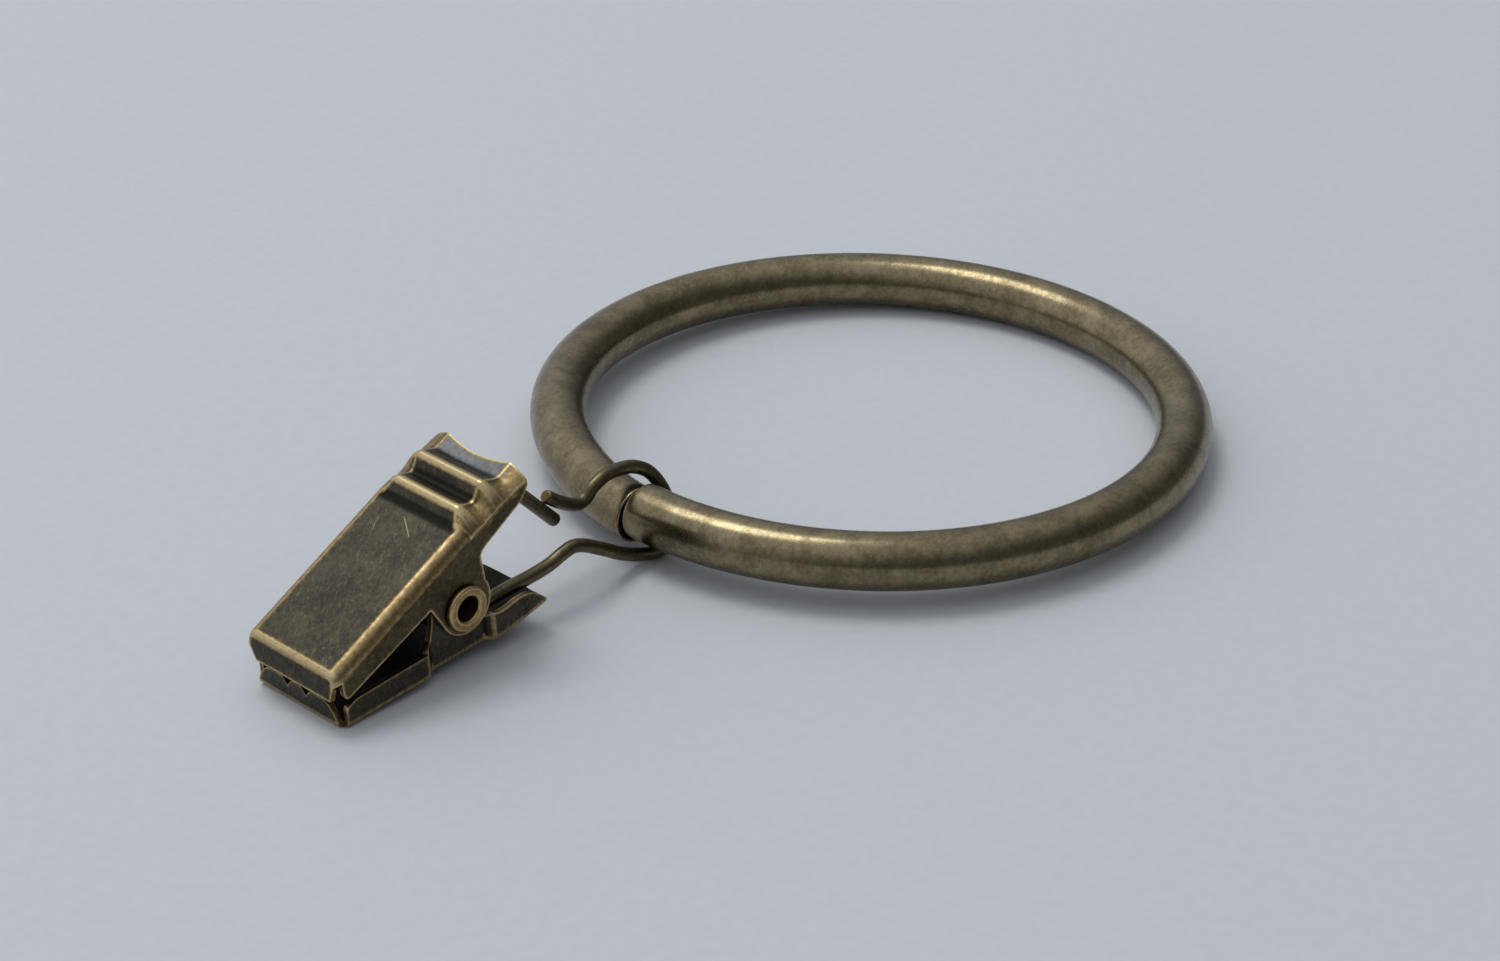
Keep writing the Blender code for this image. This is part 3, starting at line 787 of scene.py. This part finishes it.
def mark_thumb_wear(obj):
    """Stores where the thumb has rubbed the jaw's end to silvery grey, and the ridges' shoulders brown."""
    to_clip = CLIP.inverted()
    marks = obj.data.attributes.new("polish", "FLOAT", "POINT")
    wear = obj.data.attributes["wear"]
    for i, vert in enumerate(obj.data.vertices):
        place = to_clip @ vert.co
        from_side = min(place.y, CLIP_WIDTH - place.y)
        inside = smooth_step(from_side, *POLISH_SIDE)
        marks.data[i].value = inside * smooth_step(place.x, *POLISH_START)
        wall_top = SHOULDER_FOOT.z + SHOULDER_RISE * (place.x - SHOULDER_FOOT.x)
        shoulder = smooth_step(place.x, *SHOULDER_START)
        shoulder *= smooth_step(place.z - wall_top, *SHOULDER_LOW_SIDE)
        shoulder *= 1.0 - smooth_step(from_side, *SHOULDER_INNER_SIDE)
        wear.data[i].value = max(wear.data[i].value, SHOULDER_WEAR * shoulder)


def upper_wall_outline():
    heel, low_end, low_start, neck = in_mm((21.3, 12.7), (20.6, 11.6), (16.0, 9.15), (15.35, 8.2))
    notch, front_low, front_top = in_mm((10.05, 6.3), (0.75, 2.65), (0.3, 4.0))
    outline = [heel]
    outline += round_corner(heel, low_end, low_start, 0.7 * MM)
    outline += round_corner(low_end, low_start, neck, 0.5 * MM)
    outline += arc(UPPER_EAR_CENTRE, UPPER_EAR_RADIUS, 30, -160, 36)
    outline.append(notch)
    outline += round_corner(notch, front_low, front_top, 0.5 * MM)
    return outline


def make_jaw_upper():
    tops = in_mm(
        (0.35, 5.45), (14.2, 11.5), (15.2, 12.95), (16.9, 12.45),
        (17.8, 14.05), (19.65, 13.4), (21.2, 14.1),
    )
    walls = in_mm(
        (0.5, 4.4), (14.6, 10.5), (15.5, 11.1), (16.9, 11.6),
        (18.2, 12.2), (19.7, 12.7), (21.25, 13.2),
    )
    top_line = rounded_line(tops, 0.42 * MM, 8)
    wall_line = rounded_line(walls, 0.42 * MM, 8)
    spaced_tops = []
    spaced_walls = []
    for line, spaced in ((top_line, spaced_tops), (wall_line, spaced_walls)):
        spaced.append(line[0])
        for a, b in zip(line, line[1:]):
            parts = 12 if a is line[0] else 2
            spaced += [a.lerp(b, k / parts) for k in range(1, parts + 1)]
    fold_tops = in_mm(
        (-0.24, 4.6), (-0.22, 4.75), (-0.19, 4.92), (-0.13, 5.08), (-0.03, 5.23), (0.12, 5.36),
    )
    fold_walls = in_mm(
        (-0.3, 4.1), (-0.26, 4.14), (-0.2, 4.2), (-0.1, 4.26), (0.05, 4.32), (0.27, 4.37),
    )
    insets = (0.34, 0.3, 0.24, 0.17, 0.09, 0.03)
    sheet = Sheet()
    sections = []
    for flat, base, inset in zip(fold_tops, fold_walls, insets):
        sections.append(cross_section(flat, base, PANEL_BEND, inset * MM, PANEL_COLUMNS, thumb_dish))
    for flat, base in zip(spaced_tops, spaced_walls):
        ridged = smooth_step(flat.x, 14.0 * MM, 15.2 * MM)
        bend = PANEL_BEND + (RIDGE_BEND - PANEL_BEND) * ridged
        slope = SHOULDER_SLOPE * ridged
        sections.append(cross_section(flat, base, bend, 0.0, PANEL_COLUMNS, thumb_dish, slope))
    sheet.strip(sections)
    outline = upper_wall_outline()
    for y in (0.0, CLIP_WIDTH):
        sheet.plate([across(point, y) for point in spaced_walls + outline])
    bottom = Vector((-0.53, 0.0, 3.0)) * MM
    corners = [across(bottom, CLIP_WIDTH - LIP_FAR_INSET), across(bottom, LIP_NEAR_INSET)]
    sheet.plate(sections[0] + corners, LIP_BORDER)

    piece = sheet.to_piece("jaw_upper", Vector((12.0 * MM, CLIP_WIDTH / 2, 5.0 * MM)))
    for look in (panel_look, inside_shade_look, edge_look):
        piece.data.materials.append(look.material)
    apply_modifiers(piece)
    samples = bend_samples(piece.data)
    refine(piece, LONGEST_EDGE)
    mark_wear(piece, samples, UPPER_WEAR_REACH)
    mark_thumb_wear(piece)
    finish_piece(piece, "upper", "upper_jaw")


# Rivet

RIVET_RADIUS = 1.45 * MM
RIVET_BORE = 1.1 * MM
RIM_RADIUS = 2.0 * MM
RIM_FOOT = -0.1 * MM
RIM_FACE = -0.6 * MM
BORE_START = 0.4 * MM
RIVET_STEPS = 96


def make_rivet_turned():
    """A hollow rivet with a rolled, rounded rim on each side."""
    roll = [Vector((radius, 0.0, y)) for radius, y in (
        (RIVET_RADIUS, RIM_FOOT), (RIM_RADIUS, RIM_FOOT), (RIM_RADIUS, RIM_FACE),
        (RIVET_BORE, RIM_FACE), (RIVET_BORE, BORE_START),
    )]
    end = [roll[0]] + round_corner(*roll[0:3], 0.16 * MM, 6)
    end += round_corner(*roll[1:4], 0.3 * MM, 8) + round_corner(*roll[2:5], 0.34 * MM, 8)
    near = [(point.x, point.z) for point in end]
    far = [(radius, CLIP_WIDTH - y) for radius, y in near[::-1]]
    profile = near + far
    bm = bmesh.new()
    rows = []
    for k in range(RIVET_STEPS):
        turn = math.tau * k / RIVET_STEPS
        spoke = Vector((math.cos(turn), 0.0, math.sin(turn)))
        row = [PIVOT + spoke * radius + Vector((0.0, y, 0.0)) for radius, y in profile]
        rows.append([bm.verts.new(point) for point in row])
    for row, following in zip(rows, rows[1:] + rows[:1]):
        join_loops(bm, row, following)
    bmesh.ops.recalc_face_normals(bm, faces=bm.faces)
    piece = add_piece("rivet_turned", bm, CLIP)
    mark_wear(piece, bend_samples(piece.data), 0.4 * MM, 900.0, 3500.0)
    piece.data.materials.append(rivet_look.material)
    finish_piece(piece, "clip", "hinge_rivet")


# Spring wire

WIRE_RADIUS = 0.6 * MM
WIRE_SIDES = 28
END_ROUND = 0.22 * MM
COIL_STEPS = 180
LEG_COIL_STEPS = 16
COIL_RADIUS = 2.2 * MM
COIL_START_Y = 1.85 * MM
LEG_Y = 5.32 * MM
COIL_SWEEP = math.radians(820)
COIL_CUT = math.radians(9)
LEG_LEAVES = math.radians(126)


def coil_point(angle, y):
    return PIVOT + COIL_RADIUS * Vector((math.cos(angle), 0.0, math.sin(angle))) + Vector((0.0, y, 0.0))


def smooth_route(points, steps=10):
    ends = [points[0] * 2 - points[1]] + points + [points[-1] * 2 - points[-2]]
    route = []
    for before, start, end, after in zip(ends, ends[1:], ends[2:], ends[3:]):
        for i in range(steps):
            t = i / steps
            route.append(0.5 * (
                2 * start + (end - before) * t
                + (2 * before - 5 * start + 4 * end - after) * t**2
                + (3 * start - before - 3 * end + after) * t**3
            ))
    route.append(points[-1])
    return route


def sweep_wire(name, route):
    """A round wire along a route, with its cut ends rounded over."""
    bm = bmesh.new()
    loops = []
    side = Vector((0.0, 1.0, 0.0))
    nub = END_ROUND
    stations = []
    for before, point, after in zip(route[:1] + route, route, route[1:] + route[-1:]):
        stations.append((point, (after - before).normalized(), WIRE_RADIUS))
    caps = []
    for place, direction in ((0, 1.0), (-1, -1.0)):
        point, ahead, _ = stations[place]
        cap = []
        for i in range(6):
            turn = math.radians(90) * i / 5
            inward = nub * (1.0 - math.sin(turn))
            radius = WIRE_RADIUS - nub * (1.0 - math.cos(turn))
            cap.append((point + ahead * direction * inward, ahead, radius))
        caps.append(cap)
    far_enough = [
        station for station in stations
        if min((station[0] - end).length for end in (route[0], route[-1])) > nub
    ]
    for point, ahead, radius in caps[0][::-1] + far_enough + caps[1]:
        side = (side - ahead * side.dot(ahead)).normalized()
        up = ahead.cross(side)
        loop = []
        for k in range(WIRE_SIDES):
            turn = math.tau * k / WIRE_SIDES
            loop.append(bm.verts.new(point + radius * (side * math.cos(turn) + up * math.sin(turn))))
        loops.append(loop)
    close_rod(bm, loops)
    piece = add_piece(name, bm, CLIP)
    mark_wear(piece, bend_samples(piece.data), 0.3 * MM, 2200.0, 6000.0)
    piece.data.materials.append(wire_look.material)
    return piece


def make_spring_hook():
    turns = COIL_SWEEP - COIL_CUT
    coil = []
    for i in range(COIL_STEPS + 1):
        along = turns * i / COIL_STEPS
        y = COIL_START_Y + (LEG_Y - COIL_START_Y) * along / COIL_SWEEP
        coil.append(coil_point(math.radians(270) - along, y))
    hook = [Vector(point) * MM for point in (
        (16.5, 1.85, 2.75), (19.5, 1.85, 2.75), (22.0, 1.85, 2.65), (24.2, 1.85, 2.7),
        (25.7, 1.85, 3.0), (27.0, 1.85, 3.1), (28.3, 1.85, 2.55), (30.0, 1.85, 1.4),
        (32.5, 1.85, -0.4), (34.8, 1.85, -1.6), (36.6, 1.9, -2.1), (38.2, 2.4, -1.8),
        (39.45, 3.3, -0.55), (39.9, 4.3, 1.2), (39.25, 5.1, 3.05), (37.9, 5.45, 4.2),
        (36.2, 5.45, 4.85), (34.4, 5.45, 5.05), (32.9, 5.45, 4.65), (31.9, 5.45, 3.95),
        (30.8, 5.45, 3.9), (29.2, 5.45, 4.9), (27.6, 5.45, 6.3),
    )]
    piece = sweep_wire("spring_hook", coil[::-1] + smooth_route(hook))
    finish_piece(piece, "clip", "hook_spring")


def make_spring_leg():
    start = math.radians(270) - COIL_SWEEP
    end = LEG_LEAVES - math.tau * round((LEG_LEAVES - start) / math.tau)
    steps = range(LEG_COIL_STEPS + 1)
    first = [coil_point(start + (end - start) * i / LEG_COIL_STEPS, LEG_Y) for i in steps]
    leg = [Vector(point) * MM for point in (
        (15.0, 5.32, 8.7), (17.5, 5.32, 10.55), (19.4, 5.32, 11.9), (20.35, 5.32, 12.25),
        (21.2, 5.32, 11.9), (22.6, 5.32, 10.5), (25.0, 5.32, 7.65), (28.3, 5.32, 3.6),
    )]
    piece = sweep_wire("spring_leg", first + smooth_route(leg))
    finish_piece(piece, "upper", "spring_upper_leg")


make_ring_shell()
make_joint_plug()
make_jaw_lower()
make_jaw_upper()
make_rivet_turned()
make_spring_hook()
make_spring_leg()
bpy.data.objects.remove(bpy.data.objects["rivet_hole_cutter"])


# Stage

TABLE_HALF_SIZE = 3.0
TABLE_GAP = 0.01 * MM
TABLE_TONES = ((0.60, 0.62, 0.655), (0.62, 0.64, 0.675))
TABLE_ROUGHNESS = 0.6
WINDOW_SIDE = (-0.25, 0.5, 0.83)
ROOM_RANGE = (-0.1, 1.0, 0.13, 0.87)
ROOM_COLOUR = (0.9, 0.94, 1.0, 1.0)
KEY_PLACE = (-0.02, 0.36, 0.92)
KEY_SIDE = 0.42
KEY_POWER = 2.7
KEY_COLOUR = (1.0, 0.99, 0.96)
LENS_MM = 87.96
SENSOR_MM = 36.0
CAMERA_PLACE = Vector((-0.19833, -0.19550, 0.15620))
CAMERA_RIGHT = Vector((0.69758, -0.71650, -0.00294))
CAMERA_UP = Vector((0.34753, 0.33475, 0.87588))


def make_floor():
    bm = bmesh.new()
    bmesh.ops.create_grid(bm, x_segments=1, y_segments=1, size=TABLE_HALF_SIZE)
    floor = add_piece("floor", bm, Matrix.Translation((0.0, 0.0, cad_box[0][2] - TABLE_GAP)))
    made = Nodes("pale table")
    made.shader.inputs["Metallic"].default_value = 0.0
    place = made.position()
    grain = made.noise(place, 0.9, 3.0)
    made.link(made.mix(made.span(grain, 0.3, 0.7), *TABLE_TONES), made.shader, "Base Color")
    made.shader.inputs["Roughness"].default_value = TABLE_ROUGHNESS
    floor.data.materials.append(made.material)


def make_key_light():
    """A square soft light overhead, a little behind the part, that points at it."""
    data = bpy.data.lights.new("key", "AREA")
    data.shape = "RECTANGLE"
    data.size = data.size_y = KEY_SIDE
    data.energy = KEY_POWER
    data.color = KEY_COLOUR
    light = bpy.data.objects.new("key", data)
    light.location = KEY_PLACE
    light.rotation_euler = (-Vector(KEY_PLACE)).to_track_quat("-Z", "Y").to_euler()
    bpy.context.scene.collection.objects.link(light)


def make_world():
    """A soft room, brighter overhead and towards its window side than on the near side."""
    world = bpy.data.worlds.new("soft room")
    bpy.context.scene.world = world
    world.use_nodes = True
    nodes = world.node_tree.nodes
    links = world.node_tree.links
    direction = nodes.new("ShaderNodeTexCoord")
    towards = nodes.new("ShaderNodeVectorMath")
    towards.operation = "DOT_PRODUCT"
    towards.inputs[1].default_value = Vector(WINDOW_SIDE).normalized()
    links.new(direction.outputs["Generated"], towards.inputs[0])
    level = nodes.new("ShaderNodeMapRange")
    level.interpolation_type = "SMOOTHSTEP"
    for slot, number in zip(RANGE_SLOTS, ROOM_RANGE):
        level.inputs[slot].default_value = number
    links.new(towards.outputs["Value"], level.inputs["Value"])
    background = nodes["Background"]
    background.inputs["Color"].default_value = ROOM_COLOUR
    links.new(level.outputs["Result"], background.inputs["Strength"])


def make_camera():
    """A view from about 29 degrees above the table, past the clip's near front corner."""
    data = bpy.data.cameras.new("camera")
    data.sensor_width = SENSOR_MM
    data.lens = LENS_MM
    data.clip_start = 0.01
    camera = bpy.data.objects.new("camera", data)
    back = CAMERA_RIGHT.cross(CAMERA_UP)
    turn = Matrix((CAMERA_RIGHT, CAMERA_UP, back)).transposed().to_4x4()
    camera.matrix_world = Matrix.Translation(CAMERA_PLACE) @ turn
    bpy.context.scene.collection.objects.link(camera)
    bpy.context.scene.camera = camera


make_floor()
make_world()
make_key_light()
make_camera()
bpy.context.scene.view_settings.view_transform = "Standard"
